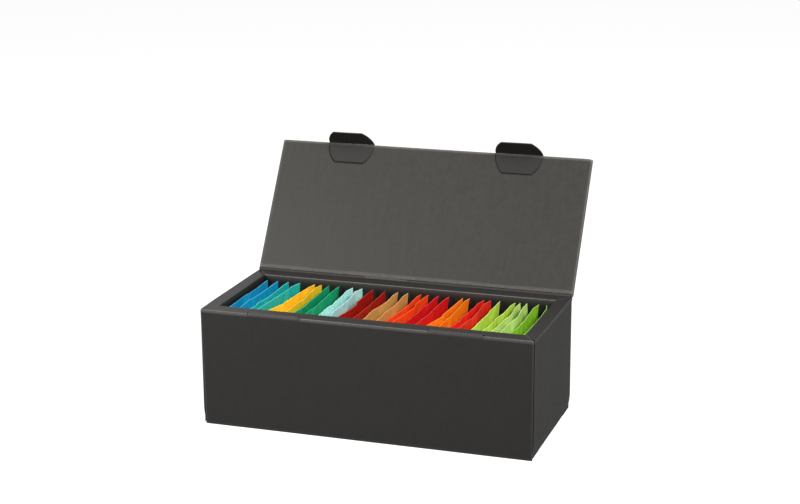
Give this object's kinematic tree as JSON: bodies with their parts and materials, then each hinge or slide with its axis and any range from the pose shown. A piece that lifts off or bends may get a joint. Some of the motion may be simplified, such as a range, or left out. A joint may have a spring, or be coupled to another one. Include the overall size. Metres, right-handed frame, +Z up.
{
  "type": "tea box",
  "caption": "Open card tea box with a hinged lid, two tuck-in tongues, folded hollow walls and a row of flat coloured tea envelopes standing inside.",
  "frame": {"origin": "middle of the box's underside, on the surface that it stands on", "axes": "+X along the box to its right seen from the front, +Y from the front to the hinged back, +Z up"},
  "size_m": [0.24, 0.163, 0.182],
  "materials": {
    "black_board": "solid board with a dark satin print and worn folds",
    "blue_paper": "printed coated paper, creased and sealed round the edge",
    "teal_paper": "printed coated paper, creased and sealed round the edge",
    "yellow_paper": "printed coated paper, creased and sealed round the edge",
    "green_paper": "printed coated paper, creased and sealed round the edge",
    "aqua_paper": "printed coated paper, creased and sealed round the edge",
    "dark_red_paper": "printed coated paper, creased and sealed round the edge",
    "tan_paper": "printed coated paper, creased and sealed round the edge",
    "orange_red_paper": "printed coated paper, creased and sealed round the edge",
    "red_paper": "printed coated paper, creased and sealed round the edge",
    "orange_paper": "printed coated paper, creased and sealed round the edge",
    "scarlet_paper": "printed coated paper, creased and sealed round the edge",
    "lime_paper": "printed coated paper, creased and sealed round the edge",
    "pale_lime_paper": "printed coated paper, creased and sealed round the edge",
    "leaf_green_paper": "printed coated paper, creased and sealed round the edge"
  },
  "bodies": {
    "box": {"base_panel": "black_board", "front_wall": "black_board", "back_wall": "black_board", "left_wall": "black_board", "right_wall": "black_board", "envelope_01": "blue_paper", "envelope_02": "blue_paper", "envelope_03": "teal_paper", "envelope_04": "teal_paper", "envelope_05": "yellow_paper", "envelope_06": "yellow_paper", "envelope_07": "green_paper", "envelope_08": "green_paper", "envelope_09": "aqua_paper", "envelope_10": "aqua_paper", "envelope_11": "dark_red_paper", "envelope_12": "dark_red_paper", "envelope_13": "tan_paper", "envelope_14": "tan_paper", "envelope_15": "orange_red_paper", "envelope_16": "orange_red_paper", "envelope_17": "red_paper", "envelope_18": "red_paper", "envelope_19": "orange_paper", "envelope_20": "orange_paper", "envelope_21": "scarlet_paper", "envelope_22": "scarlet_paper", "envelope_23": "lime_paper", "envelope_24": "lime_paper", "envelope_25": "pale_lime_paper", "envelope_26": "pale_lime_paper", "envelope_27": "leaf_green_paper", "envelope_28": "leaf_green_paper"},
    "lid": {"lid_outer": "black_board", "lid_liner": "black_board"},
    "tongue_left": {"tab_left": "black_board"},
    "tongue_right": {"tab_right": "black_board"}
  },
  "joints": [
    {"name": "lid_hinge", "type": "hinge", "parent": "box", "child": "lid", "pos_m": [0, 0.053, 0.084], "axis": [-1, 0, 0], "range_deg": [-122.5, 57.5]},
    {"name": "tongue_left_fold", "type": "hinge", "parent": "lid", "child": "tongue_left", "pos_m": [-0.065, 0.10955, 0.17128], "axis": [-1, 0, 0], "range_deg": [-15.6, 7.4]},
    {"name": "tongue_right_fold", "type": "hinge", "parent": "lid", "child": "tongue_right", "pos_m": [0.065, 0.10955, 0.17128], "axis": [-1, 0, 0], "range_deg": [-15.6, 7.4]}
  ],
  "couplings": [
    {"joint": "tongue_left_fold", "follows": "lid_hinge", "ratio": 0.1266},
    {"joint": "tongue_right_fold", "follows": "lid_hinge", "ratio": 0.1266}
  ]
}
